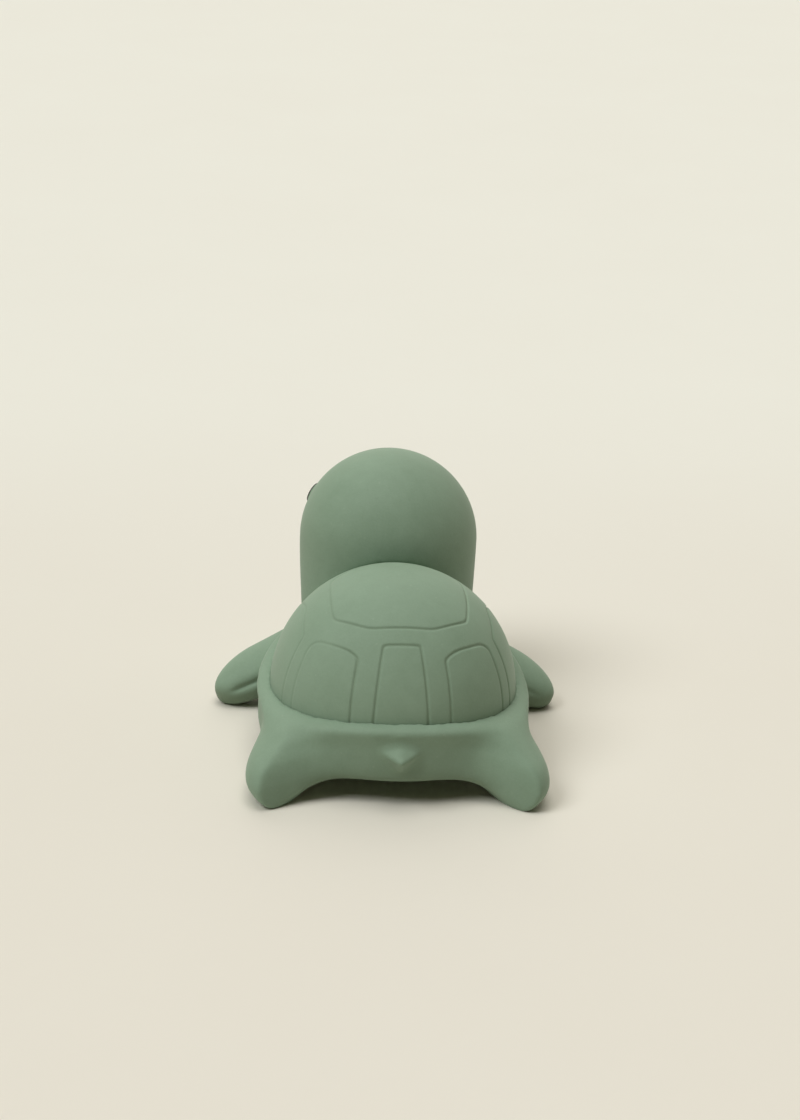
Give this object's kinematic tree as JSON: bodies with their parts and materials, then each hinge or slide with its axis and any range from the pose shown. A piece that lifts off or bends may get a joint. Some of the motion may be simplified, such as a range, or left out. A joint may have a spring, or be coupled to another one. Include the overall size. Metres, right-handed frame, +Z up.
{
  "type": "squeaky bath toy",
  "caption": "Hollow rubber sea turtle bath toy with a domed shell marked in scutes, paddle flippers, short hind feet, raised painted eyes and a reed squeaker set in the belly.",
  "frame": {"origin": "on the floor under the middle of the toy's bounding box", "axes": "+Z up, +Y towards the head, +X to the turtle's right side"},
  "size_m": [0.1058, 0.1186, 0.0772],
  "materials": {
    "body_rubber": "matte sage green rubber",
    "shell_rubber": "matte sage green rubber",
    "eye_paint": "satin dark paint",
    "squeaker_plastic": "plain moulded plastic",
    "reed_film": "thin stiff film"
  },
  "bodies": {
    "toy": {"body": "body_rubber", "left_eye_paint": "eye_paint", "right_eye_paint": "eye_paint", "squeaker_sleeve": "squeaker_plastic", "reed_bed": "squeaker_plastic", "reed_clamp": "squeaker_plastic"},
    "shell": {"carapace": "shell_rubber"},
    "reed": {"reed": "reed_film"}
  },
  "joints": [
    {"name": "shell_press", "type": "slide", "parent": "toy", "child": "shell", "axis": [0, 0, -1], "range_m": [0, 0.0045], "stiffness_N_per_m": 2500},
    {"name": "reed_flutter", "type": "hinge", "parent": "toy", "child": "reed", "pos_m": [0, -0.01488, 0.00836], "axis": [1, 0, 0], "range_deg": [-4, 4], "stiffness_Nm_per_rad": 0.0005}
  ]
}
